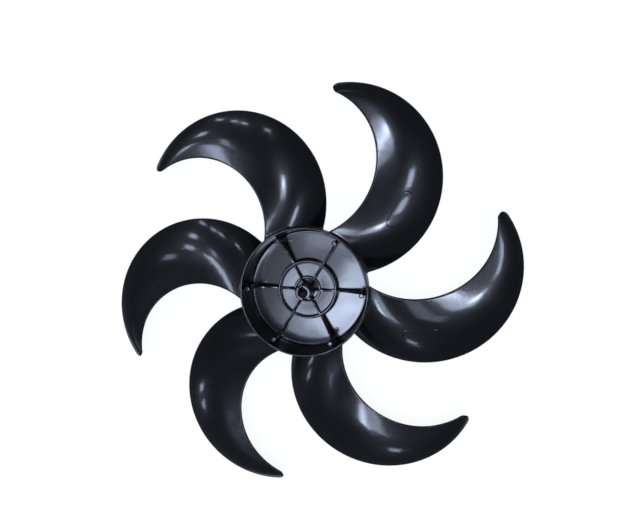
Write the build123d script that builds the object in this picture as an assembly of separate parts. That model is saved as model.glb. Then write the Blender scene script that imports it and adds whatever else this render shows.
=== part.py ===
"""Axial fan impeller: a one-piece moulded propeller for a desk or pedestal fan.

Six forward-swept sickle blades stand round an open cup-shaped hub.  The hub's
closed front face lies on the XY plane and its open rear side looks up +Z,
where the motor shaft enters.  The origin is on the bore axis, at the front
face.  All sizes are in millimetres, all angles in degrees.
"""
from build123d import *
from math import atan2, cos, degrees, hypot, radians, sin, sqrt, tan
import os

# ---- hub cup ----
RIM_RADIUS = 57.9          # outside of the cup at its open rim
HUB_HEIGHT = 35.7          # front face to open rim
WALL = 1.9                 # cup side wall
FLOOR = 2.6                # cup floor
WALL_DRAFT = 0.4           # draft of the side wall
FRONT_ROUND = 5.0          # rounded corner between front face and side wall
FLOOR_FILLET = 1.6         # inside corner between floor and side wall
LIP_CHAMFER = 0.5          # broken edges of the rim

# ---- recess for the spinner in the front face, which lifts the middle of the cup floor ----
SEAT_RADIUS = 25.6
SEAT_DEPTH = 7.0

# ---- shaft boss ----
BORE_RADIUS = 4.05         # for an 8 mm shaft
BOSS_RADIUS = 6.9
BOSS_ABOVE_RIM = 0.6       # the boss end stands a little proud of the rim
BORE_CHAMFER = 0.5
PIN_SLOT_WIDTH = 3.2       # slot across the boss end for the shaft's drive pin
PIN_SLOT_DEPTH = 4.5
PIN_SLOT_ANGLE = 108.0

# ---- stiffening rings, ribs and ejector posts on the cup floor ----
MID_RING_RADIUS = 27.9
MID_RING_HEIGHT = 11.0     # ring and rib heights are taken over the outer floor
INNER_RING_RADIUS = 12.4
INNER_RING_HEIGHT = 10.0
RING_WALL = 1.7
RING_DRAFT = 1.0
RIB_COUNT = 6
RIB_ANGLE = -2.5           # bearing of the first rib
RIB_WALL = 1.7
RIB_BOSS_HEIGHT = 16.0     # rib height where it meets the boss
RIB_MID_HEIGHT = 10.0      # lowest height, near the mid ring
RIB_WALL_HEIGHT = 25.0     # rib height where it meets the side wall
POST_RADIUS = 2.3
POST_PITCH_RADIUS = 51.9
POST_HEIGHT = 30.4
POST_CHAMFER = 0.4

# ---- blades, seen in plan ----
BLADE_COUNT = 6
SWEEP_RADIUS = 194.2       # circle the convex trailing edges touch from inside
TRAILING_TOP_ANGLE = 70.5  # bearing where the trailing edge touches the sweep circle
TRAILING_ROOT_ANGLE = 16.73       # bearing where it leaves the hub
LEADING_CENTRE_RADIUS = 120.4     # centre of the concave leading edge's outer arc
LEADING_CENTRE_ANGLE = 90.4
LEADING_RADIUS = 64.3
LEADING_ROOT_JOIN = 12.4   # bearing on the outer arc where a wider root arc takes over
LEADING_ROOT_ANGLE = 75.21 # bearing where the root arc leaves the hub
TIP_RADIUS = 5.3

# ---- blades, heights over the front face and thickness ----
TRAILING_ROOT_Z = 3.6
TRAILING_TIP_Z = 8.6
LEADING_ROOT_Z = 34.6
LEADING_TIP_Z = 14.4
LEADING_FALL = 1.9         # power of the leading edge's fall from root to tip
CAMBER = 0.065             # rise of the blade's arch as a share of its chord
ROOT_THICKNESS = 2.6
TIP_THICKNESS = 1.6
EDGE_CHAMFER = 0.45        # broken edges of the blade
SECTION_COUNT = 9          # lofted sections along a blade
BLANK_MARGIN = 4.0         # how far the untrimmed blade runs past its outline


def polar(radius, angle):
    """Plan point at a radius and a bearing."""
    return Vector(radius * cos(radians(angle)), radius * sin(radians(angle)))


def bearing(vector):
    """Bearing of a plan vector."""
    return degrees(atan2(vector.Y, vector.X))


def circles_meet(c0, r0, c1, r1):
    """Both points where two plan circles cross."""
    span = (c1 - c0).length
    along = (r0 * r0 - r1 * r1 + span * span) / (2 * span)
    across = sqrt(r0 * r0 - along * along)
    way = (c1 - c0) * (1 / span)
    side = Vector(-way.Y, way.X)
    return c0 + way * along + side * across, c0 + way * along - side * across


class PlanArc:
    """A plan arc that runs counter-clockwise between two bearings seen from its centre."""

    def __init__(self, centre, radius, start, end):
        self.centre = centre
        self.radius = radius
        self.start = start
        self.end = end if end > start else end + 360
        self.length = radius * radians(self.end - self.start)

    def at(self, share):
        return self.centre + polar(self.radius, self.start + (self.end - self.start) * share)

    def edge(self):
        return ThreePointArc(self.at(0), self.at(0.5), self.at(1))


def trailing_radius(root_radius):
    """Radius of the arc from the trailing root that touches the sweep circle from inside."""
    lean_in = root_radius * cos(radians(TRAILING_TOP_ANGLE - TRAILING_ROOT_ANGLE))
    spread = SWEEP_RADIUS ** 2 - 2 * SWEEP_RADIUS * lean_in + root_radius ** 2
    return spread / (2 * (SWEEP_RADIUS - lean_in))


def blade_arcs():
    """Trailing, tip, leading and leading-root arcs of the blade that starts near bearing 20.

    The small tip arc is tangent to the convex trailing arc and to the concave leading arc,
    and the root arc is tangent to the leading arc where it takes over.
    """
    root_radius = RIM_RADIUS - 3 * WALL
    trail_start = polar(root_radius, TRAILING_ROOT_ANGLE)
    trail_radius = trailing_radius(root_radius)
    trail_centre = polar(SWEEP_RADIUS - trail_radius, TRAILING_TOP_ANGLE)
    lead_centre = polar(LEADING_CENTRE_RADIUS, LEADING_CENTRE_ANGLE)
    join = lead_centre + polar(LEADING_RADIUS, LEADING_ROOT_JOIN)
    lead_start = polar(root_radius, LEADING_ROOT_ANGLE)
    reach = join - lead_start
    wide_radius = reach.length ** 2 / (2 * reach.dot(polar(1, LEADING_ROOT_JOIN)))
    wide_centre = join - polar(wide_radius, LEADING_ROOT_JOIN)
    tips = circles_meet(trail_centre, trail_radius - TIP_RADIUS, lead_centre, LEADING_RADIUS + TIP_RADIUS)
    tip = max(tips, key=lambda point: point.length)
    trail_end = bearing(tip - trail_centre)
    lead_end = bearing(tip - lead_centre)
    trailing = PlanArc(trail_centre, trail_radius, bearing(trail_start - trail_centre), trail_end)
    leading = PlanArc(lead_centre, LEADING_RADIUS, LEADING_ROOT_JOIN, lead_end)
    root = PlanArc(wide_centre, wide_radius, bearing(lead_start - wide_centre), LEADING_ROOT_JOIN)
    tip_arc = PlanArc(tip, TIP_RADIUS, trail_end, lead_end + 180)
    return trailing, tip_arc, leading, root


def leading_point(leading, root, share):
    """Point of the two-arc leading edge at a share of its length from the hub."""
    way = share * (root.length + leading.length)
    if way < root.length:
        return root.at(way / root.length)
    return leading.at((way - root.length) / leading.length)


def blade_section(trail_point, lead_point, thickness):
    """Arched strip between a trailing and a leading point, on the upright plane through both."""
    run = lead_point - trail_point
    chord = run.length
    across = run.normalized()
    plane = Plane(origin=trail_point, x_dir=across, z_dir=across.cross(Vector(0, 0, 1)))
    rise = CAMBER * chord
    arch_radius = (chord * chord / 4 + rise * rise) / (2 * rise)
    centre = Vector(chord / 2, rise - arch_radius)
    reach = degrees(chord / 2 / arch_radius + BLANK_MARGIN / arch_radius)
    outer = PlanArc(centre, arch_radius + thickness / 2, 90 - reach, 90 + reach)
    inner = PlanArc(centre, arch_radius - thickness / 2, 90 - reach, 90 + reach)
    strip = make_face([
        outer.edge(),
        Line(outer.at(1), inner.at(1)),
        inner.edge(),
        Line(inner.at(0), outer.at(0)),
    ])
    return plane * strip


def blade_blank(trailing, leading, root):
    """Untrimmed blade: a twisted, arched strip lofted from the hub to beyond the tip."""
    beyond = 1 + 1.6 * TIP_RADIUS / trailing.length
    sections = []
    for index in range(SECTION_COUNT):
        share = beyond * index / (SECTION_COUNT - 1)
        trail_z = TRAILING_ROOT_Z + (TRAILING_TIP_Z - TRAILING_ROOT_Z) * share
        fall = max(1 - share, 0) ** LEADING_FALL
        lead_z = LEADING_TIP_Z + (LEADING_ROOT_Z - LEADING_TIP_Z) * fall
        thickness = ROOT_THICKNESS + (TIP_THICKNESS - ROOT_THICKNESS) * share
        trail_point = trailing.at(share) + Vector(0, 0, trail_z)
        lead_point = leading_point(leading, root, share) + Vector(0, 0, lead_z)
        sections.append(blade_section(trail_point, lead_point, thickness))
    return loft(sections)


def lean(height, draft):
    """How far a drafted wall leans over a height."""
    return height * tan(radians(draft))


def rounded(face, corner, radius):
    """A flat face with the corner nearest to a point rounded."""
    return fillet(face.vertices().sort_by_distance(corner)[0], radius)


def upright(*points):
    """Solid of revolution about the bore axis from (radius, height) points."""
    return revolve(Plane.XZ * make_face(Polyline(*points, close=True)), Axis.Z)


def cup():
    """Hub cup of even wall, with a rounded front corner, a floor fillet and a broken lip."""
    outer_front = (RIM_RADIUS - lean(HUB_HEIGHT, WALL_DRAFT), 0)
    inner_floor = (RIM_RADIUS - WALL - lean(HUB_HEIGHT - FLOOR, WALL_DRAFT), FLOOR)
    section = make_face(Polyline(
        (0, 0),
        outer_front,
        (RIM_RADIUS, HUB_HEIGHT - LIP_CHAMFER),
        (RIM_RADIUS - LIP_CHAMFER, HUB_HEIGHT),
        (RIM_RADIUS - WALL + LIP_CHAMFER, HUB_HEIGHT),
        (RIM_RADIUS - WALL, HUB_HEIGHT - LIP_CHAMFER),
        inner_floor,
        (0, FLOOR),
        close=True,
    ))
    section = rounded(section, outer_front, FRONT_ROUND)
    section = rounded(section, inner_floor, FLOOR_FILLET)
    return revolve(Plane.XZ * section, Axis.Z)


def ring(radius, height):
    """Upright stiffening ring on the cup floor, a little thinner at its top."""
    taper = lean(height, RING_DRAFT)
    return upright(
        (radius - RING_WALL, FLOOR / 2),
        (radius, FLOOR / 2),
        (radius - taper, FLOOR + height),
        (radius - RING_WALL + taper, FLOOR + height),
    )


def raised_floor():
    """Middle of the cup floor, lifted over the spinner recess."""
    return upright(
        (0, FLOOR / 2),
        (MID_RING_RADIUS - RING_WALL / 2, FLOOR / 2),
        (MID_RING_RADIUS - RING_WALL / 2, FLOOR + SEAT_DEPTH),
        (0, FLOOR + SEAT_DEPTH),
    )


def rib():
    """Radial rib from the boss to the side wall, its top edge one hollow arc."""
    start = BORE_RADIUS + (BOSS_RADIUS - BORE_RADIUS) / 2
    end = RIM_RADIUS - WALL / 2 - lean(HUB_HEIGHT, WALL_DRAFT)
    top = ThreePointArc(
        (start, FLOOR + RIB_BOSS_HEIGHT),
        (MID_RING_RADIUS, FLOOR + RIB_MID_HEIGHT),
        (end, FLOOR + RIB_WALL_HEIGHT),
    )
    side = make_face([
        top,
        Line((end, FLOOR + RIB_WALL_HEIGHT), (end, FLOOR / 2)),
        Line((end, FLOOR / 2), (start, FLOOR / 2)),
        Line((start, FLOOR / 2), (start, FLOOR + RIB_BOSS_HEIGHT)),
    ])
    return extrude(Plane.XZ * side, RIB_WALL / 2, both=True)


def post():
    """Round ejector post at the outer end of a rib."""
    tall = POST_HEIGHT + FLOOR / 2
    pin = Cylinder(POST_RADIUS, tall, align=(Align.CENTER, Align.CENTER, Align.MIN))
    pin = chamfer(pin.edges().group_by(Axis.Z)[-1], POST_CHAMFER)
    return Pos(POST_PITCH_RADIUS, 0, FLOOR / 2) * pin


def boss():
    """Solid shaft boss standing on the cup floor to just above the rim."""
    return Pos(0, 0, FLOOR / 2) * Cylinder(
        BOSS_RADIUS, HUB_HEIGHT + BOSS_ABOVE_RIM - FLOOR / 2, align=(Align.CENTER, Align.CENTER, Align.MIN)
    )


def shaft_cut():
    """The through bore with chamfered ends, the drive-pin slot and the spinner recess."""
    top = HUB_HEIGHT + BOSS_ABOVE_RIM
    mouth = BORE_RADIUS + BORE_CHAMFER
    bore = upright(
        (0, SEAT_DEPTH - BORE_CHAMFER),
        (mouth + BORE_CHAMFER, SEAT_DEPTH - BORE_CHAMFER),
        (BORE_RADIUS, SEAT_DEPTH + BORE_CHAMFER),
        (BORE_RADIUS, top - BORE_CHAMFER),
        (mouth + BORE_CHAMFER, top + BORE_CHAMFER),
        (0, top + BORE_CHAMFER),
    )
    slot = Pos(0, 0, top) * Rot(0, 0, PIN_SLOT_ANGLE) * Box(3 * BOSS_RADIUS, PIN_SLOT_WIDTH, 2 * PIN_SLOT_DEPTH)
    seat = Cylinder(SEAT_RADIUS, 2 * SEAT_DEPTH)
    return bore + slot + seat


def cup_core():
    """The space inside the cup with its side and floor moved outwards to the middle of the wall."""
    top = RIM_RADIUS - WALL / 2
    floor_z = FLOOR / 2
    return upright(
        (0, floor_z),
        (top - lean(HUB_HEIGHT - floor_z, WALL_DRAFT), floor_z),
        (top, HUB_HEIGHT),
        (top, 2 * HUB_HEIGHT),
        (0, 2 * HUB_HEIGHT),
    )


def blade():
    """One blade, trimmed by its plan outline, with broken edges, cut off inside the hub wall."""
    trailing, tip_arc, leading, root = blade_arcs()
    outline = make_face([
        trailing.edge(),
        tip_arc.edge(),
        leading.edge(),
        root.edge(),
        Line(root.at(0), trailing.at(0)),
    ])
    trimmed = blade_blank(trailing, leading, root) & extrude(outline, 2 * HUB_HEIGHT)
    skins = trimmed.faces().sort_by(SortBy.AREA)[-2:]
    root_line = (root.at(0) + trailing.at(0)) / 2
    rims = [edge for skin in skins for edge in skin.edges() if plan_gap(edge, root_line) > RIM_RADIUS / 4]
    return chamfer(rims, EDGE_CHAMFER) - cup_core()


def plan_gap(edge, point):
    """Plan distance from an edge's middle to a point."""
    middle = edge @ 0.5
    return hypot(middle.X - point.X, middle.Y - point.Y)


def impeller():
    hub = cup() + raised_floor() + boss()
    hub += ring(MID_RING_RADIUS, MID_RING_HEIGHT) + ring(INNER_RING_RADIUS, INNER_RING_HEIGHT)
    for index in range(RIB_COUNT):
        turn = Rot(0, 0, RIB_ANGLE + index * 360 / RIB_COUNT)
        hub += turn * rib() + turn * post()
    hub -= shaft_cut()
    one = blade()
    blades = [Rot(0, 0, index * 360 / BLADE_COUNT) * one for index in range(BLADE_COUNT)]
    return hub + blades


os.makedirs("parts", exist_ok=True)
body = impeller()
body.label = "impeller"
export_step(body, "parts/impeller.step")
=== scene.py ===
"""Dressed scene of the axial fan impeller: one glossy black moulding, open side up.

The CAD model is the fixed frame.  The blades and the hub are worked out again as fine smooth
surfaces in the same place, because the gloss shows every facet.  Lengths are in millimetres and
angles in degrees, unless a name or a comment says otherwise.
"""
import math

import bpy
import numpy as np
from mathutils import Matrix


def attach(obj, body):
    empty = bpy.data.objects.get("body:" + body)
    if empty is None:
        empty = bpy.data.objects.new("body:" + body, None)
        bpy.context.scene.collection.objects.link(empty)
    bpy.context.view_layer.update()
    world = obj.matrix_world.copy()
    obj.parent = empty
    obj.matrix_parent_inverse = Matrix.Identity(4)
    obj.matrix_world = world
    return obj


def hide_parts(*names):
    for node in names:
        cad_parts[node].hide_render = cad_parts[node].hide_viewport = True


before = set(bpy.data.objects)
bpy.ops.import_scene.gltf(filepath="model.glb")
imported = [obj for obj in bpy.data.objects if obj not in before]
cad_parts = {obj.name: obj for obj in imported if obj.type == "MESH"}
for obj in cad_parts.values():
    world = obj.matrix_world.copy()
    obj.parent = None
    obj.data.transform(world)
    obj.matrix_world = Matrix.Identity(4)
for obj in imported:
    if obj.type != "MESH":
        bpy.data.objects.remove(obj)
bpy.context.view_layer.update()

MM = 0.001                 # metres in a millimetre

# ---- hub, the CAD solid's sizes ----
RIM_RADIUS = 57.9
HUB_HEIGHT = 35.7
WALL = 1.9
FLOOR = 2.6
WALL_DRAFT = 0.4
FRONT_ROUND = 5.0
FLOOR_FILLET = 1.6
SEAT_RADIUS = 25.6
SEAT_DEPTH = 7.0           # recess in the front face, which lifts the middle of the floor
BORE_RADIUS = 4.05
BOSS_RADIUS = 6.9
BOSS_ABOVE_RIM = 0.6       # the boss end stands a little proud of the rim
BORE_CHAMFER = 0.5
PIN_SLOT_WIDTH = 3.2       # slot across the boss end for the shaft's drive pin
PIN_SLOT_DEPTH = 4.5
PIN_SLOT_ANGLE = 108.0
MID_RING_RADIUS = 27.9
MID_RING_HEIGHT = 11.0     # ring, rib and post heights are taken over the outer floor
INNER_RING_RADIUS = 12.4
INNER_RING_HEIGHT = 10.0
RING_WALL = 1.7
RING_DRAFT = 1.0
RIB_COUNT = 6
RIB_STEP = 360 / RIB_COUNT
RIB_ANGLE = -2.5           # bearing of the first rib
RIB_WALL = 1.7
RIB_BOSS_HEIGHT = 16.0     # where a rib meets the boss
RIB_MID_HEIGHT = 10.0      # at the mid ring
RIB_WALL_HEIGHT = 25.0     # where it meets the side wall
POST_RADIUS = 2.3
POST_PITCH_RADIUS = 51.9
POST_HEIGHT = 30.4
POST_CHAMFER = 0.4

# ---- blades, the CAD solid's sizes ----
BLADE_COUNT = 6
BLADE_STEP = 360 / BLADE_COUNT
SWEEP_RADIUS = 194.2       # circle the convex trailing edges touch from inside
TRAILING_TOP_ANGLE = 70.5  # bearing where the trailing edge touches it
TRAILING_ROOT_ANGLE = 16.73
LEADING_CENTRE_RADIUS = 120.4      # centre of the concave leading edge's outer arc
LEADING_CENTRE_ANGLE = 90.4
LEADING_RADIUS = 64.3
LEADING_ROOT_JOIN = 12.4   # bearing on the outer arc where a wider root arc takes over
LEADING_ROOT_ANGLE = 75.21
TIP_RADIUS = 5.3
TRAILING_ROOT_Z = 3.6
TRAILING_TIP_Z = 8.6
LEADING_ROOT_Z = 34.6
LEADING_TIP_Z = 14.4
LEADING_FALL = 1.9         # power of the leading edge's fall from root to tip
CAMBER = 0.065             # rise of the blade's arch as a share of its chord
ROOT_THICKNESS = 2.6
TIP_THICKNESS = 1.6

# ---- forms that only the scene has ----
ROOT_FILLET = 2.0          # hollow round where the blade leaves the hub wall
LEADING_FLAT = 0.26        # share of the chord, behind the leading edge, that runs straight
FLAT_FADE = (0.75, 1.0)    # shares of the length between which that straight part dies away
FLOOR_DISH = 0.5           # how far the raised floor sinks from the mid ring to the inner ring
LIP_ROUND = 0.9            # nearly a full round of the rim
EDGE_SOFT = 0.25           # small round on moulded corners
BOSS_SOFT = 0.3
SEAT_CORNER_ROUND = 0.6
SEAT_EDGE_ROUND = 0.4
FOOT_REACH = 0.8           # how far the hollow round at a foot spreads over the floor
FOOT_ROUND = 0.72          # radius of that round on the rings
BOSS_FOOT_ROUND = 0.7
MID_RING_SPREAD = 0.6      # more slope on the outside of the mid ring
SUNK = 0.3                 # how deep feet run into the floor, so that no gap shows
OVERLAP = 0.05             # how deep the cheeks of the boss run into its tube
# Moulded pads: blade, then middle and half sizes as shares of the blade's length and chord.
PADS = ((0, (0.318, 0.50), (0.082, 0.10)), (5, (0.313, 0.455), (0.079, 0.12)))
PAD_PROUD = 0.45
PAD_SINK = 0.15            # how deep the pad's rim ends in the skin
PAD_DEPTH = 0.5            # how deep its underside lies in the blade
PAD_SQUARE = 3.4           # power of the squared oval outline
PAD_SHOULDER = 0.92        # share of the way from middle to rim where the top starts to drop

# ---- grid fineness ----
BLADE_ROWS = 130
TIP_ROWS = 19              # of these, past the start of the tip arc
BLADE_SIDE = 56            # points from edge to edge over one skin
ROOT_CROWD = 1.15          # power that draws the rows towards the root
EDGE_CROWD = 0.35          # how strongly the columns are drawn towards the edges
TIP_END = 1.9              # share past which a step along the blade is taken backwards only
SMALL_STEP = 1e-3          # step in share or across for finding a slope
NO_RUN = 1e-6              # shorter plan lengths of a chord are taken as this
NO_LENGTH = 1e-12          # shorter normals are divided by this
PROBE_STEPS = 400          # for finding where a line of the blade meets the hub wall
PAD_STEPS = 96
PAD_RINGS = 24
PAD_CROWD = 0.6            # power that draws the pad's rings towards its rim
TURN_STEPS = 192
TUBE_STEPS = 96
POST_STEPS = 48
POST_FOOT = 8.0            # height over the floor of a ring of points on a post
ROUND_MIDDLE = 0.3         # share of a round's radius between its middle and the sharp corner
CUP_CELL = 2.5             # a longer side of a profile is cut up into sides near this length
RING_CELL = 3.0
BOSS_CELL = 2.0
CHEEK_CELLS = (36, 5, 16)
RIB_CELLS = (20, 28)       # along a rib, inside the mid ring and outside it
RIB_CROSS_CELLS = (4, 24)  # across a rib and up it
RIB_FOOT_CROWD = 1.6       # power that draws the levels towards the foot

# ---- light ----
LAMP_DISTANCE = 1.7        # metres from the middle of the hub
LAMP_COLOUR = (0.66, 0.76, 1.0)
ROOM_COLOUR = (0.75, 0.82, 1.0, 1)
ROOM_STRENGTH = 0.1
FLOOR_SIZE = 3.0           # metres from the axis to each side of the floor
FLOOR_COLOUR = (0.9, 0.9, 0.9, 1)
FLOOR_ROUGHNESS = 0.9
FLOOR_GLOW_SHARE = 0.85    # the rest of the floor's look is its shaded surface
FLOOR_GLOW_STRENGTH = 1.1
PAINTED_SHADE_UNDER_HUB = 0.8       # share of the hub's radius within which the floor does not glow: painted shade under the hub

# Lamps: name, x and y of the unit vector towards the lamp, side lengths in metres, watts, and
# the turn about the line to the hub.  Each is named for the place where its mirror image falls.
LAMPS = (
    ("hub_right", (-0.01, -0.13), (0.22, 0.24), 2.8, 0),
    ("hub_middle", (-0.12, -0.18), (0.22, 0.22), 1.8, 0),
    ("hub_front", (-0.06, -0.24), (0.24, 0.22), 1.8, 0),
    ("hub_left", (-0.18, -0.24), (0.22, 0.22), 0.6, 0),
    ("hub_back", (-0.12, 0.04), (0.22, 0.20), 0.9, 0),
    ("haze_over_hub", (-0.14, -0.12), (0.6, 0.5), 0.9, 0),
    ("blade_1_edge", (0.13, 0.45), (0.22, 0.18), 1.2, 0),
    ("blade_1_edge_core", (0.13, 0.47), (0.08, 0.09), 1.1, 0),
    ("blade_1_upper", (0.53, 0.21), (0.13, 0.22), 1.5, 0),
    ("blade_1_lower", (0.56, -0.01), (0.12, 0.24), 1.3, 0),
    ("blade_6_edge", (0.47, -0.21), (0.20, 0.20), 1.6, 0),
    ("blade_6_edge_core", (0.49, -0.18), (0.09, 0.12), 1.3, 0),
    ("blade_6_middle", (0.36, -0.40), (0.18, 0.18), 0.3, 0),
    ("blade_5_middle", (0.06, -0.63), (0.22, 0.17), 1.0, 0),
    ("blade_5_middle_core", (0.02, -0.66), (0.08, 0.08), 0.55, 0),
    ("blade_4_middle", (-0.40, -0.53), (0.19, 0.19), 0.6, 0),
    ("blade_4_edge", (-0.34, -0.59), (0.12, 0.12), 0.45, 0),
    ("blade_3_ridge", (-0.49, 0.33), (0.11, 0.28), 1.4, 20),
    ("blade_3_crest", (-0.43, 0.48), (0.08, 0.16), 0.3, 0),
    ("blade_3_tip", (-0.72, 0.24), (0.12, 0.12), 0.26, 0),
    ("blade_2_tip", (-0.60, 0.42), (0.12, 0.12), 0.55, 0),
    ("strip_corner", (-0.54, 0.60), (0.12, 0.12), 0.6, 0),
    ("strip_front", (0.12, -0.84), (0.12, 0.12), 0.4, 0),
    ("strip_left", (-0.84, -0.36), (0.10, 0.10), 0.3, 0),
    ("strip_left_far", (-0.78, -0.48), (0.10, 0.10), 0.25, 0),
    ("strip_left_near", (-0.60, -0.10), (0.18, 0.18), 0.5, 0),
    ("strip_back_1", (-0.42, 0.79), (0.10, 0.06), 0.25, 0),
    ("strip_back_2", (-0.30, 0.79), (0.10, 0.06), 0.25, 0),
    ("strip_back_3", (-0.22, 0.79), (0.10, 0.06), 0.25, 0),
    ("strip_back_4", (0.0, 0.79), (0.10, 0.06), 0.25, 0),
)

# ---- camera, in metres ----
CAMERA_AT = (0.07247, 0.05528, 0.41557)
CAMERA_RIGHT = (0.98823, -0.00538, -0.15286)
CAMERA_BACK = (0.15283, 0.07547, 0.98537)
CAMERA_CLIP_START = 0.01
FOCAL_PIXELS = 440
PICTURE_WIDTH = 635
SENSOR_WIDTH = 36.0        # millimetres


# ------------------------------------------------------------------ meshes

def mesh_object(name, points, faces, uv=None):
    """An object in metres from points in millimetres and their faces, shaded smooth."""
    mesh = bpy.data.meshes.new(name)
    faces = [tuple(map(int, face)) for face in faces]
    mesh.from_pydata(np.asarray(points, float) * MM, [], faces)
    mesh.validate()
    mesh.shade_smooth()
    if uv is not None:
        layer = mesh.uv_layers.new(name="UVMap")
        corners = np.empty(len(mesh.loops), int)
        mesh.loops.foreach_get("vertex_index", corners)
        layer.data.foreach_set("uv", np.asarray(uv, float)[corners].ravel())
    obj = bpy.data.objects.new(name, mesh)
    bpy.context.collection.objects.link(obj)
    return obj


def grid_quads(rows, cols, wrap_cols=False, wrap_rows=False, flip=False, start=0):
    """Faces of a rows by cols grid of points; either way may close on itself."""
    r = np.arange(rows if wrap_rows else rows - 1)
    c = np.arange(cols if wrap_cols else cols - 1)
    i, j = np.meshgrid(r, c, indexing="ij")
    i2, j2 = (i + 1) % rows, (j + 1) % cols
    corners = [i * cols + j, i * cols + j2, i2 * cols + j2, i2 * cols + j]
    quads = np.stack(corners, axis=-1).reshape(-1, 4)
    return start + (quads[:, ::-1] if flip else quads)


def turn_angles(steps):
    """Angles of one whole turn, in radians."""
    return np.arange(steps) * 2 * math.pi / steps


def polar(radius, angle):
    """Plan point at a radius and a bearing in degrees."""
    return radius * np.array([math.cos(math.radians(angle)), math.sin(math.radians(angle))])


def bearing(vector):
    """Bearing of a plan vector in degrees."""
    return math.degrees(math.atan2(vector[1], vector[0]))


def circles_meet(c0, r0, c1, r1):
    """Both points where two plan circles cross."""
    span = np.linalg.norm(c1 - c0)
    along = (r0 * r0 - r1 * r1 + span * span) / (2 * span)
    across = math.sqrt(r0 * r0 - along * along)
    way = (c1 - c0) / span
    side = np.array([-way[1], way[0]])
    return c0 + way * along + side * across, c0 + way * along - side * across


class PlanArc:
    """A plan arc that runs counter-clockwise between two bearings seen from its centre."""

    def __init__(self, centre, radius, start, end):
        self.centre = centre
        self.radius = radius
        self.start = start
        self.end = end if end > start else end + 360
        self.length = radius * math.radians(self.end - self.start)

    def at(self, share):
        """Points at shares of the way along the arc."""
        angle = np.radians(self.start + (self.end - self.start) * np.asarray(share, float))
        return self.centre + self.radius * np.stack([np.cos(angle), np.sin(angle)], axis=-1)


def blade_arcs():
    """Trailing, tip, leading and leading-root arcs of the blade that starts near bearing 20.

    The trailing arc leaves its root point and touches the sweep circle from inside.  The root arc
    leaves its own root point and is tangent to the leading arc at the join.
    """
    inside = RIM_RADIUS - 3 * WALL
    trail_start = polar(inside, TRAILING_ROOT_ANGLE)
    lean_in = inside * math.cos(math.radians(TRAILING_TOP_ANGLE - TRAILING_ROOT_ANGLE))
    spread = SWEEP_RADIUS ** 2 - 2 * SWEEP_RADIUS * lean_in + inside ** 2
    trail_radius = spread / (2 * (SWEEP_RADIUS - lean_in))
    trail_centre = polar(SWEEP_RADIUS - trail_radius, TRAILING_TOP_ANGLE)
    lead_centre = polar(LEADING_CENTRE_RADIUS, LEADING_CENTRE_ANGLE)
    join = lead_centre + polar(LEADING_RADIUS, LEADING_ROOT_JOIN)
    lead_start = polar(inside, LEADING_ROOT_ANGLE)
    reach = join - lead_start
    wide_radius = reach.dot(reach) / (2 * reach.dot(polar(1, LEADING_ROOT_JOIN)))
    wide_centre = join - polar(wide_radius, LEADING_ROOT_JOIN)
    tips = circles_meet(
        trail_centre, trail_radius - TIP_RADIUS,
        lead_centre, LEADING_RADIUS + TIP_RADIUS,
    )
    tip = max(tips, key=np.linalg.norm)
    trail_from = bearing(trail_start - trail_centre)
    root_from = bearing(lead_start - wide_centre)
    trail_end = bearing(tip - trail_centre)
    lead_end = bearing(tip - lead_centre)
    trailing = PlanArc(trail_centre, trail_radius, trail_from, trail_end)
    leading = PlanArc(lead_centre, LEADING_RADIUS, LEADING_ROOT_JOIN, lead_end)
    root = PlanArc(wide_centre, wide_radius, root_from, LEADING_ROOT_JOIN)
    tip_arc = PlanArc(tip, TIP_RADIUS, trail_end, lead_end + 180)
    return trailing, tip_arc, leading, root


ARCS = blade_arcs()


def wall_radius(z):
    """Outside radius of the drafted hub wall at a height."""
    return RIM_RADIUS - (HUB_HEIGHT - z) * math.tan(math.radians(WALL_DRAFT))


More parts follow.
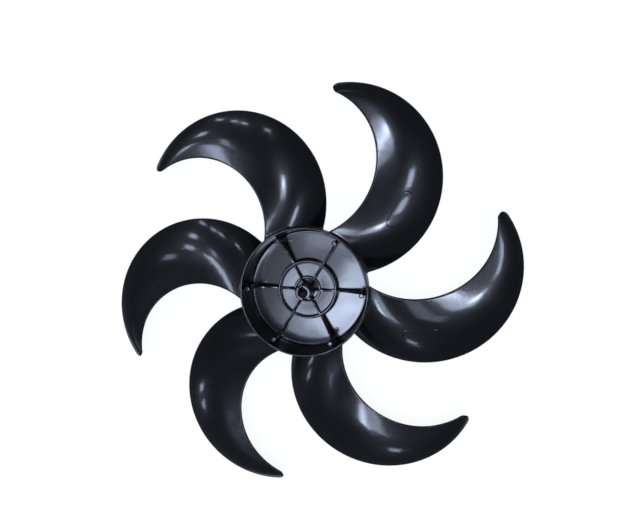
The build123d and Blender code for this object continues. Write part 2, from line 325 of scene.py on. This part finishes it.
def blade_middle(share, across):
    """Middle surface of a blade.

    share runs from 0 at the hub to 1 where the tip arc starts and on to 2 at the very tip;
    across runs from 0 on the trailing edge to 1 on the leading edge.  The two edge points at a
    share are joined by a chord, and the surface stands over the chord by a parabola of CAMBER
    times the chord, which runs out straight towards the leading edge.  Past share 1 the edge
    points walk round the tip arc and meet.
    """
    trailing, tip_arc, leading, root = ARCS
    flat = np.clip(share, 0, 1)
    round_way = np.clip(share - 1, 0, 1)
    way = flat * (root.length + leading.length)
    on_root = (way < root.length)[..., None]
    on_leading = leading.at((way - root.length) / leading.length)
    lead = np.where(on_root, root.at(way / root.length), on_leading)
    trail = trailing.at(flat)
    past = (share > 1)[..., None]
    trail = np.where(past, tip_arc.at(round_way / 2), trail)
    lead = np.where(past, tip_arc.at(1 - round_way / 2), lead)
    travel = flat + round_way * TIP_RADIUS / trailing.length
    trail_z = TRAILING_ROOT_Z + (TRAILING_TIP_Z - TRAILING_ROOT_Z) * travel
    to_go = np.clip(1 - travel, 0, 1)
    lead_z = LEADING_TIP_Z + (LEADING_ROOT_Z - LEADING_TIP_Z) * to_go ** LEADING_FALL
    middle_z = (trail_z + lead_z) / 2
    tip_turn = np.cos(round_way * math.pi / 2)
    trail_z = middle_z + (trail_z - middle_z) * tip_turn
    lead_z = middle_z + (lead_z - middle_z) * tip_turn
    a = np.concatenate([trail, trail_z[..., None]], axis=-1)
    b = np.concatenate([lead, lead_z[..., None]], axis=-1)
    run = b - a
    chord = np.linalg.norm(run, axis=-1, keepdims=True)
    flat_run = np.linalg.norm(run[..., :2], axis=-1, keepdims=True)
    slope = run[..., 2:3] / np.maximum(flat_run, NO_RUN)
    lean_back = -run[..., :2] * slope / np.maximum(flat_run, NO_RUN)
    lift = np.concatenate([lean_back, np.ones_like(slope)], axis=-1)
    lift = lift / np.linalg.norm(lift, axis=-1, keepdims=True)
    w = across[..., None]
    fade = np.clip((share[..., None] - FLAT_FADE[0]) / (FLAT_FADE[1] - FLAT_FADE[0]), 0, 1)
    past_bend = np.clip(w - (1 - LEADING_FLAT), 0, 1) ** 2 - w * LEADING_FLAT ** 2 / 2
    past_bend = past_bend * (1 - fade ** 2 * (3 - 2 * fade))
    return a + run * w + lift * (4 * CAMBER * chord * (w * (1 - w) + past_bend))


def half_thickness(share):
    """Half the blade's thickness, which thins evenly from hub to tip."""
    return (ROOT_THICKNESS + (TIP_THICKNESS - ROOT_THICKNESS) * np.minimum(share, 1)) / 2


def quarter_round(way):
    """Drop of a quarter round from 0 at way 0 to 1 at way 1, level at first and steep at last."""
    return 1 - np.sqrt(np.maximum(1 - way ** 2, 0))


def blade_grid():
    """Closed blade shell as a grid of points, and the share and across of each point.

    Each lengthwise line starts in the middle of the hub wall.  The half thickness thins from hub
    to tip, swells as a quarter round next to the wall, and closes as a half round at both edges.
    """
    even = np.linspace(0, 1, BLADE_SIDE)
    across = EDGE_CROWD * (1 - np.cos(math.pi * even)) / 2 + (1 - EDGE_CROWD) * even
    probe = np.linspace(0, 0.5, PROBE_STEPS)
    start = np.empty(BLADE_SIDE)
    for column, w in enumerate(across):
        line = blade_middle(probe, np.full_like(probe, w))
        radius = np.hypot(line[:, 0], line[:, 1])
        start[column] = np.interp(0, radius - wall_radius(line[:, 2]) + WALL / 2, probe)
    body = np.linspace(0, 1, BLADE_ROWS - TIP_ROWS) ** ROOT_CROWD
    tip = 1 + np.sin(np.linspace(0, math.pi / 2, TIP_ROWS + 1))[1:]
    row = np.concatenate([body, tip])[:, None]
    share = np.where(row <= 1, start + (1 - start) * row, row)
    w = np.broadcast_to(across, share.shape)
    middle = blade_middle(share, w)
    ahead = blade_middle(share + SMALL_STEP * (share < TIP_END), w)
    along = ahead - blade_middle(share - SMALL_STEP, w)
    towards_lead = blade_middle(share, np.clip(w + SMALL_STEP, 0, 1))
    side = towards_lead - blade_middle(share, np.clip(w - SMALL_STEP, 0, 1))
    normal = np.cross(side, along)
    normal[-1] = normal[-2]
    normal /= np.maximum(np.linalg.norm(normal, axis=-1, keepdims=True), NO_LENGTH)
    normal *= np.sign(normal[..., 2:3])
    half = half_thickness(share)
    to_trail = np.linalg.norm(middle - middle[:, :1], axis=-1)
    to_lead = np.linalg.norm(middle - middle[:, -1:], axis=-1)
    nose = np.clip(np.minimum(to_trail, to_lead) / half, 0, 1)
    half = half * (1 - quarter_round(1 - nose))
    radius = np.hypot(middle[..., 0], middle[..., 1])
    off_wall = np.clip(radius - wall_radius(middle[..., 2]), 0, ROOT_FILLET)
    half = half + ROOT_FILLET * quarter_round(1 - off_wall / ROOT_FILLET) * (half > 0)
    upper = middle + normal * half[..., None]
    lower = middle - normal * half[..., None]
    loop = np.concatenate([upper, lower[:, -2:0:-1]], axis=1)
    place = np.stack([share / 2, w], -1)
    uv = np.concatenate([place, place[:, -2:0:-1]], axis=1)
    return loop, uv


def make_blades():
    """Six blades, each the same shell turned about the bore."""
    loop, uv = blade_grid()
    quads = grid_quads(*loop.shape[:2], wrap_cols=True)
    shell = loop.reshape(-1, 3), quads
    uv = uv.reshape(-1, 2)
    return [
        mesh_object(f"blade_{index + 1}", *turned(shell, index * BLADE_STEP), uv)
        for index in range(BLADE_COUNT)
    ]


def blade_pad(middle, reach):
    """Low moulded pad on the rear skin of a blade, as a closed shell.

    The outline is a squared oval in the plane of share and across.  From its middle nearly to its
    rim the pad stands proud of the skin by one height, then it drops into the blade in a quarter
    round.  Its underside follows the blade's middle surface inside the blade.
    """
    turn = turn_angles(PAD_STEPS)
    c, s = np.cos(turn), np.sin(turn)
    rim = (np.abs(c) ** PAD_SQUARE + np.abs(s) ** PAD_SQUARE) ** (-1 / PAD_SQUARE)
    out = np.linspace(0, 1, PAD_RINGS + 1)[1:, None] ** PAD_CROWD
    share = np.append(middle[0] + out * rim * c * reach[0], middle[0])
    across = np.append(middle[1] + out * rim * s * reach[1], middle[1])
    out = np.append(np.broadcast_to(out, (PAD_RINGS, PAD_STEPS)), 0)
    base = blade_middle(share, across)
    side = blade_middle(share, across + SMALL_STEP) - base
    along = blade_middle(share + SMALL_STEP, across) - base
    normal = np.cross(side, along)
    normal *= np.sign(normal[:, 2:3]) / np.linalg.norm(normal, axis=-1, keepdims=True)
    half = half_thickness(share)
    drop = quarter_round(np.clip((out - PAD_SHOULDER) / (1 - PAD_SHOULDER), 0, 1))
    height = half + PAD_PROUD - (PAD_PROUD + PAD_SINK) * drop
    upper = base + normal * height[:, None]
    lower = base + normal * (half - PAD_DEPTH)[:, None]
    here = np.arange(PAD_STEPS)
    after = (here + 1) % PAD_STEPS
    count = PAD_RINGS * PAD_STEPS + 1
    fan = np.stack([np.full(PAD_STEPS, count - 1), here, after], -1).tolist()
    top = fan + grid_quads(PAD_RINGS, PAD_STEPS, wrap_cols=True, flip=True).tolist()
    under = [[corner + count for corner in face[::-1]] for face in top]
    here, after = here + count - 1 - PAD_STEPS, after + count - 1 - PAD_STEPS
    wall = np.stack([here, count + here, count + after, after], -1).tolist()
    return np.concatenate([upper, lower]), top + under + wall


def make_pads():
    """The moulded pads on two of the blades."""
    pads = [turned(blade_pad(middle, reach), k * BLADE_STEP) for k, middle, reach in PADS]
    return [mesh_object("blade_pads", *join(pads))]


def rounded_profile(corners, steps=6):
    """Closed profile loop with its corners rounded.

    corners is a list of (radius, height, rounding).  Each rounded corner is the arc tangent to
    its two sides; a corner with no rounding stays a point.
    """
    points = np.array([corner[:2] for corner in corners], float)
    loop = []
    for index, (_, _, rounding) in enumerate(corners):
        here, before, after = points[index], points[index - 1], points[(index + 1) % len(points)]
        if not rounding:
            loop.append(here[None])
            continue
        to_before = (before - here) / np.linalg.norm(before - here)
        to_after = (after - here) / np.linalg.norm(after - here)
        half = math.acos(np.clip(np.dot(to_before, to_after), -1, 1)) / 2
        middle = (to_before + to_after) / np.linalg.norm(to_before + to_after)
        centre = here + middle * rounding / math.sin(half)
        first = here + to_before * rounding / math.tan(half) - centre
        last = here + to_after * rounding / math.tan(half) - centre
        sweep = math.atan2(first[0] * last[1] - first[1] * last[0], np.dot(first, last))
        turn = np.linspace(0, sweep, steps + 1)[:, None]
        loop.append(centre + first * np.cos(turn) + np.array([-first[1], first[0]]) * np.sin(turn))
    return np.concatenate(loop)


def fill_long_sides(loop, longest):
    """Closed loop with points added on its long sides, so that faces stay near square."""
    out = []
    for here, after in zip(loop, np.roll(loop, -1, axis=0)):
        count = max(1, int(np.linalg.norm(after - here) / longest))
        out.append(here + (after - here) * np.linspace(0, 1, count + 1)[:-1, None])
    return np.concatenate(out)


def spin(profile, steps=TURN_STEPS):
    """Closed surface of revolution: a closed loop of (radius, height) points carried round."""
    angle = turn_angles(steps)[:, None]
    x = profile[:, 0] * np.cos(angle)
    y = profile[:, 0] * np.sin(angle)
    z = np.broadcast_to(profile[:, 1], x.shape)
    return np.stack([x, y, z], -1).reshape(-1, 3), grid_quads(steps, len(profile), True, True)


def spin_solid(profile, centre_x, steps):
    """Closed turned solid: an open line of (radius, height) points from the axis to the axis,
    carried round an upright axis at centre_x.
    """
    angle = turn_angles(steps)
    radius, height = profile[1:-1, :1], profile[1:-1, 1:]
    x = centre_x + radius * np.cos(angle)
    y = radius * np.sin(angle)
    z = np.broadcast_to(height, x.shape)
    points = np.stack([x, y, z], -1).reshape(-1, 3)
    poles = [[centre_x, 0, profile[0][1]], [centre_x, 0, profile[-1][1]]]
    quads = grid_quads(len(radius), steps, wrap_cols=True).tolist()
    here = np.arange(steps)
    after = (here + 1) % steps
    low_fan = np.stack([np.full(steps, len(points)), after, here], -1).tolist()
    last = len(points) - steps
    high_fan = np.stack([np.full(steps, len(points) + 1), last + here, last + after], -1).tolist()
    return np.concatenate([points, poles]), quads + low_fan + high_fan


def warped_box(shape, counts):
    """Closed surface of a box of counts cells, its points (a, b, c) between 0 and 1 carried by
    shape to their places.
    """
    sides, faces, offset = [], [], 0
    for axis in range(3):
        u_axis, v_axis = (axis + 1) % 3, (axis + 2) % 3
        rows, cols = counts[u_axis] + 1, counts[v_axis] + 1
        u, v = np.meshgrid(np.arange(rows), np.arange(cols), indexing="ij")
        for level in (0, counts[axis]):
            corner = np.empty(u.shape + (3,), int)
            corner[..., axis], corner[..., u_axis], corner[..., v_axis] = level, u, v
            sides.append(corner.reshape(-1, 3))
            faces.append(grid_quads(rows, cols, flip=level == 0, start=offset))
            offset += u.size
    corners, index = np.unique(np.concatenate(sides), axis=0, return_inverse=True)
    points = shape(*(corners / np.array(counts)).T)
    return points, index.reshape(-1)[np.concatenate(faces)]


def join(parts):
    """One set of points and faces from several."""
    points, faces, offset = [], [], 0
    for part_points, part_faces in parts:
        points.append(np.asarray(part_points))
        faces += [[int(corner) + offset for corner in face] for face in part_faces]
        offset += len(part_points)
    return np.concatenate(points), faces


def turned(part, angle):
    """The part turned about the bore by an angle in degrees."""
    points, faces = part
    c, s = math.cos(math.radians(angle)), math.sin(math.radians(angle))
    return points @ np.array([[c, s, 0], [-s, c, 0], [0, 0, 1]]), faces


FLOOR_STEP_RADIUS = MID_RING_RADIUS - RING_WALL / 2      # the floor rises here, in the mid ring
RIB_START = (BORE_RADIUS + BOSS_RADIUS) / 2
RIB_END = wall_radius(0) - WALL / 2
RIB_GAP = 0.01             # between the two lengths of a rib, hidden in the mid ring
SAME_SIDE = 1e-5           # share of its radius that keeps a rib's end on its side of the step


def floor_level(radius):
    """Top of the cup floor at a radius: level round the mid ring, raised and dished within it."""
    sink = np.clip((MID_RING_RADIUS - radius) / (MID_RING_RADIUS - INNER_RING_RADIUS), 0, 1)
    return FLOOR + (radius < FLOOR_STEP_RADIUS) * (SEAT_DEPTH - FLOOR_DISH * sink)


def cup_shell():
    """Hub cup with its spinner recess: one loop from the bore out round the wall and back."""
    loop = rounded_profile([
        (BORE_RADIUS, SEAT_DEPTH + BORE_CHAMFER, 0),
        (BORE_RADIUS + BORE_CHAMFER, SEAT_DEPTH, 0),
        (SEAT_RADIUS, SEAT_DEPTH, SEAT_CORNER_ROUND),
        (SEAT_RADIUS, 0, SEAT_EDGE_ROUND),
        (wall_radius(0), 0, FRONT_ROUND),
        (RIM_RADIUS, HUB_HEIGHT, LIP_ROUND),
        (RIM_RADIUS - WALL, HUB_HEIGHT, LIP_ROUND),
        (wall_radius(FLOOR) - WALL, FLOOR, FLOOR_FILLET),
        (FLOOR_STEP_RADIUS, FLOOR, 0),
        (FLOOR_STEP_RADIUS, FLOOR + SEAT_DEPTH, 0),
        (INNER_RING_RADIUS, floor_level(INNER_RING_RADIUS), 0),
        (BORE_RADIUS, floor_level(BORE_RADIUS), 0),
    ])
    return spin(fill_long_sides(loop, CUP_CELL))


def ring_shell(radius, height, spread):
    """Stiffening ring, thinner at its rounded top, with hollow rounds at its feet.

    Its outside leans by spread each way more than the draft makes it lean.
    """
    taper = height * math.tan(math.radians(RING_DRAFT))
    top = FLOOR + height
    outer, inner = radius + spread, radius - RING_WALL
    outer_floor, inner_floor = floor_level(radius), floor_level(inner)
    loop = rounded_profile([
        (radius - RING_WALL / 2, outer_floor - SUNK, 0),
        (outer + FOOT_REACH, outer_floor - SUNK, 0),
        (outer + FOOT_REACH, outer_floor, 0),
        (outer, outer_floor, FOOT_ROUND),
        (radius - taper - spread, top, EDGE_SOFT),
        (inner + taper - spread / 2, top, EDGE_SOFT),
        (inner, inner_floor, FOOT_ROUND),
        (inner - FOOT_REACH, inner_floor, 0),
        (inner - FOOT_REACH, inner_floor - SUNK, 0),
        (radius - RING_WALL / 2, inner_floor - SUNK, 0),
    ], steps=4)
    return spin(fill_long_sides(loop, RING_CELL))


def rib_top(distance):
    """Height of a rib's top edge: one hollow arc through its three named heights."""
    xs = np.array([RIB_START, MID_RING_RADIUS, RIB_END])
    zs = FLOOR + np.array([RIB_BOSS_HEIGHT, RIB_MID_HEIGHT, RIB_WALL_HEIGHT])
    rows = np.stack([2 * xs, 2 * zs, np.ones(3)], -1)
    cx, cz, k = np.linalg.solve(rows, xs ** 2 + zs ** 2)
    radius = math.sqrt(k + cx ** 2 + cz ** 2)
    return cz - np.sqrt(radius ** 2 - (distance - cx) ** 2)


def rib_shell(start, end, cells):
    """Length of a radial rib between two radii, with hollow rounds at its foot."""

    def shape(a, b, c):
        x = start + (end - start) * a
        top = rib_top(x)
        ground = floor_level(x * (1 - SAME_SIDE))
        z = ground - SUNK + (top - ground + SUNK) * c ** RIB_FOOT_CROWD
        up = np.clip((z - ground) / FOOT_REACH, 0, 1)
        cap = np.clip((z - (top - EDGE_SOFT)) / EDGE_SOFT, 0, 1)
        flare = FOOT_REACH * quarter_round(1 - up) - EDGE_SOFT * quarter_round(cap)
        return np.stack([x, (2 * b - 1) * (RIB_WALL / 2 + flare), z], -1)

    return warped_box(shape, (cells, *RIB_CROSS_CELLS))


def whole_rib():
    """A rib in two lengths: on the raised floor in the mid ring, and on the low floor round it."""
    return join([
        rib_shell(RIB_START, FLOOR_STEP_RADIUS, RIB_CELLS[0]),
        rib_shell(FLOOR_STEP_RADIUS + RIB_GAP, RIB_END, RIB_CELLS[1]),
    ])


def post_shell():
    """Round ejector post with a softened top."""
    top = FLOOR + POST_HEIGHT
    flat = POST_RADIUS - POST_CHAMFER
    soft_middle = ROUND_MIDDLE * POST_CHAMFER
    line = np.array([
        (0, FLOOR / 2), (POST_RADIUS, FLOOR / 2), (POST_RADIUS, FLOOR + POST_FOOT),
        (POST_RADIUS, top - POST_CHAMFER),
        (POST_RADIUS - soft_middle, top - soft_middle),
        (flat, top), (flat / 2, top), (0, top),
    ])
    return spin_solid(line, POST_PITCH_RADIUS, POST_STEPS)


def boss_shell():
    """Shaft boss: a bored tube up to the slot, and two cheeks with the drive-pin slot between."""
    top = HUB_HEIGHT + BOSS_ABOVE_RIM
    slot_floor = top - PIN_SLOT_DEPTH
    ground = floor_level(BOSS_RADIUS)
    loop = rounded_profile([
        (BORE_RADIUS, ground - SUNK, 0),
        (BOSS_RADIUS + FOOT_REACH, ground - SUNK, 0),
        (BOSS_RADIUS + FOOT_REACH, ground, 0),
        (BOSS_RADIUS, ground, BOSS_FOOT_ROUND),
        (BOSS_RADIUS, slot_floor, 0),
        (BORE_RADIUS, slot_floor, 0),
    ])
    tube = spin(fill_long_sides(loop, BOSS_CELL), TUBE_STEPS)

    def cheek(a, b, c):
        z = slot_floor - OVERLAP + (top - slot_floor + OVERLAP) * c
        pull = BOSS_SOFT * quarter_round(np.clip((z - (top - BOSS_SOFT)) / BOSS_SOFT, 0, 1))
        radius = BORE_RADIUS + (BOSS_RADIUS - BORE_RADIUS) * b + pull * (1 - 2 * b)
        opening = np.arcsin((PIN_SLOT_WIDTH / 2 + pull) / radius)
        angle = opening + (math.pi - 2 * opening) * a
        return np.stack([radius * np.cos(angle), radius * np.sin(angle), z], -1)

    half = warped_box(cheek, CHEEK_CELLS)
    return join([tube, turned(half, PIN_SLOT_ANGLE), turned(half, PIN_SLOT_ANGLE + 180)])


def make_hub():
    """The hub's pieces, each a closed shell that runs a little into its neighbours."""
    ways = [RIB_ANGLE + index * RIB_STEP for index in range(RIB_COUNT)]
    ribs = [turned(whole_rib(), way) for way in ways]
    posts = [turned(post_shell(), way) for way in ways]
    rings = [
        ring_shell(MID_RING_RADIUS, MID_RING_HEIGHT, MID_RING_SPREAD),
        ring_shell(INNER_RING_RADIUS, INNER_RING_HEIGHT, 0),
    ]
    return [
        mesh_object("hub_cup", *cup_shell()),
        mesh_object("stiffening_rings", *join(rings)),
        mesh_object("hub_ribs", *join(ribs)),
        mesh_object("ejector_posts", *join(posts)),
        mesh_object("shaft_boss", *boss_shell()),
    ]


# ------------------------------------------------------------------ materials

def set_inputs(node, values):
    """Set a node's inputs from a dictionary of names or numbers."""
    for key, value in values.items():
        node.inputs[key].default_value = value


def add_node(tree, kind, values, operation=None):
    """A new node in a tree, with its operation and inputs set."""
    node = tree.nodes.new(kind)
    if operation:
        node.operation = operation
    set_inputs(node, values)
    return node


def gloss_black(name):
    """Black glossy moulded plastic: soft mottled gloss under a smoother coat, and faint waves."""
    material = bpy.data.materials.new(name)
    material.use_nodes = True
    tree = material.node_tree
    links = tree.links
    shader = tree.nodes["Principled BSDF"]
    set_inputs(shader, {
        "Base Color": (0.0038, 0.0038, 0.0043, 1),
        "Specular IOR Level": 0.3,
        "Coat Weight": 0.75,
        "Coat Roughness": 0.10,
        "IOR": 1.5,
    })
    place = add_node(tree, "ShaderNodeTexCoord", {})
    mottle = add_node(tree, "ShaderNodeTexNoise", {"Scale": 35, "Detail": 4})
    links.new(place.outputs["Object"], mottle.inputs["Vector"])
    gloss = add_node(tree, "ShaderNodeMapRange", {
        "From Min": 0.3, "From Max": 0.7, "To Min": 0.24, "To Max": 0.32})
    links.new(mottle.outputs["Fac"], gloss.inputs["Value"])
    links.new(gloss.outputs["Result"], shader.inputs["Roughness"])
    waves = add_node(tree, "ShaderNodeTexNoise", {"Scale": 55, "Detail": 2})
    links.new(place.outputs["Object"], waves.inputs["Vector"])
    swell = add_node(tree, "ShaderNodeBump", {"Strength": 0.12, "Distance": 0.0006})
    links.new(waves.outputs["Fac"], swell.inputs["Height"])
    links.new(swell.outputs["Normal"], shader.inputs["Normal"])
    links.new(swell.outputs["Normal"], shader.inputs["Coat Normal"])
    return material


def pale_floor(name):
    """Pale matt floor that glows white to the camera and is clear from below. Under the hub it
    does not glow, which paints shade there; in that disc only the floor's own shaded surface
    shows.
    """
    material = bpy.data.materials.new(name)
    material.use_nodes = True
    tree = material.node_tree
    links = tree.links
    shader = tree.nodes["Principled BSDF"]
    set_inputs(shader, {"Base Color": FLOOR_COLOUR, "Roughness": FLOOR_ROUGHNESS})
    rays = add_node(tree, "ShaderNodeLightPath", {})
    place = add_node(tree, "ShaderNodeTexCoord", {})
    reach = add_node(tree, "ShaderNodeVectorMath", {}, "LENGTH")
    links.new(place.outputs["Object"], reach.inputs[0])
    # The glow is kept only outside a disc under the hub. Inside the disc this paints shade, and
    # only the floor's own shaded surface shows there.
    clear = add_node(tree, "ShaderNodeMath", {1: PAINTED_SHADE_UNDER_HUB * RIM_RADIUS * MM}, "GREATER_THAN")
    links.new(reach.outputs["Value"], clear.inputs[0])
    seen = add_node(tree, "ShaderNodeMath", {}, "MULTIPLY")
    links.new(rays.outputs["Is Camera Ray"], seen.inputs[0])
    links.new(clear.outputs["Value"], seen.inputs[1])
    share = add_node(tree, "ShaderNodeMath", {1: FLOOR_GLOW_SHARE}, "MULTIPLY")
    links.new(seen.outputs["Value"], share.inputs[0])
    glow = add_node(tree, "ShaderNodeEmission", {"Strength": FLOOR_GLOW_STRENGTH})
    mix = add_node(tree, "ShaderNodeMixShader", {})
    links.new(share.outputs["Value"], mix.inputs["Fac"])
    links.new(shader.outputs["BSDF"], mix.inputs[1])
    links.new(glow.outputs["Emission"], mix.inputs[2])
    side = add_node(tree, "ShaderNodeNewGeometry", {})
    through = add_node(tree, "ShaderNodeBsdfTransparent", {})
    one_sided = add_node(tree, "ShaderNodeMixShader", {})
    links.new(side.outputs["Backfacing"], one_sided.inputs["Fac"])
    links.new(mix.outputs["Shader"], one_sided.inputs[1])
    links.new(through.outputs["BSDF"], one_sided.inputs[2])
    links.new(one_sided.outputs["Shader"], tree.nodes["Material Output"].inputs["Surface"])
    return material


# ------------------------------------------------------------------ stage, light and camera

def make_floor():
    """Plain pale floor at the height of the front face."""
    points = np.array([(-1, -1, 0), (1, -1, 0), (1, 1, 0), (-1, 1, 0)]) * FLOOR_SIZE / MM
    floor = mesh_object("studio_floor", points, [[0, 1, 2, 3]])
    floor.data.materials.append(pale_floor("pale_floor"))


def make_world():
    """Faint bluish room light on the part, and plain white where the camera looks past it."""
    world = bpy.data.worlds.new("studio")
    world.use_nodes = True
    tree = world.node_tree
    room = tree.nodes["Background"]
    set_inputs(room, {"Color": ROOM_COLOUR, "Strength": ROOM_STRENGTH})
    white = add_node(tree, "ShaderNodeBackground", {"Color": (1, 1, 1, 1), "Strength": 1})
    rays = add_node(tree, "ShaderNodeLightPath", {})
    mix = add_node(tree, "ShaderNodeMixShader", {})
    tree.links.new(rays.outputs["Is Camera Ray"], mix.inputs["Fac"])
    tree.links.new(room.outputs["Background"], mix.inputs[1])
    tree.links.new(white.outputs["Background"], mix.inputs[2])
    tree.links.new(mix.outputs["Shader"], tree.nodes["World Output"].inputs["Surface"])
    bpy.context.scene.world = world


def add_at(name, data, right, back, place):
    """An object for a lamp or a camera that stands at a place and looks away from back."""
    obj = bpy.data.objects.new(name, data)
    bpy.context.collection.objects.link(obj)
    matrix = np.eye(4)
    matrix[:3, 0], matrix[:3, 1], matrix[:3, 2] = right, np.cross(back, right), back
    matrix[:3, 3] = place
    obj.matrix_world = Matrix(matrix.tolist())
    return obj


def make_lights():
    """Soft area lamps over the part, all at one distance from the hub and facing it."""
    for name, (x, y), size, power, turn in LAMPS:
        lamp = bpy.data.lights.new(name, "AREA")
        lamp.shape = "RECTANGLE"
        lamp.size, lamp.size_y = size
        lamp.energy = power
        lamp.color = LAMP_COLOUR
        back = np.array([x, y, math.sqrt(1 - x * x - y * y)])
        level = np.cross([0, 1, 0], back)
        level /= np.linalg.norm(level)
        upright = np.cross(back, level)
        c, s = math.cos(math.radians(turn)), math.sin(math.radians(turn))
        add_at(name, lamp, level * c + upright * s, back, back * LAMP_DISTANCE)


def make_camera():
    """Camera over the open side of the hub, with its focal length given in picture points."""
    data = bpy.data.cameras.new("camera")
    data.sensor_fit = "HORIZONTAL"
    data.sensor_width = SENSOR_WIDTH
    data.lens = FOCAL_PIXELS / PICTURE_WIDTH * SENSOR_WIDTH
    data.clip_start = CAMERA_CLIP_START
    back = np.array(CAMERA_BACK) / np.linalg.norm(CAMERA_BACK)
    right = np.array(CAMERA_RIGHT)
    right = right - back * right.dot(back)
    right /= np.linalg.norm(right)
    bpy.context.scene.camera = add_at("camera", data, right, back, CAMERA_AT)


# ------------------------------------------------------------------ scene

pieces = make_blades() + make_pads() + make_hub()
plastic = gloss_black("gloss_black_plastic")
for piece in pieces:
    piece.data.materials.append(plastic)
    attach(piece, "root")
    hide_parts("impeller")

make_floor()
make_world()
make_lights()
make_camera()
bpy.context.scene.view_settings.view_transform = "Standard"
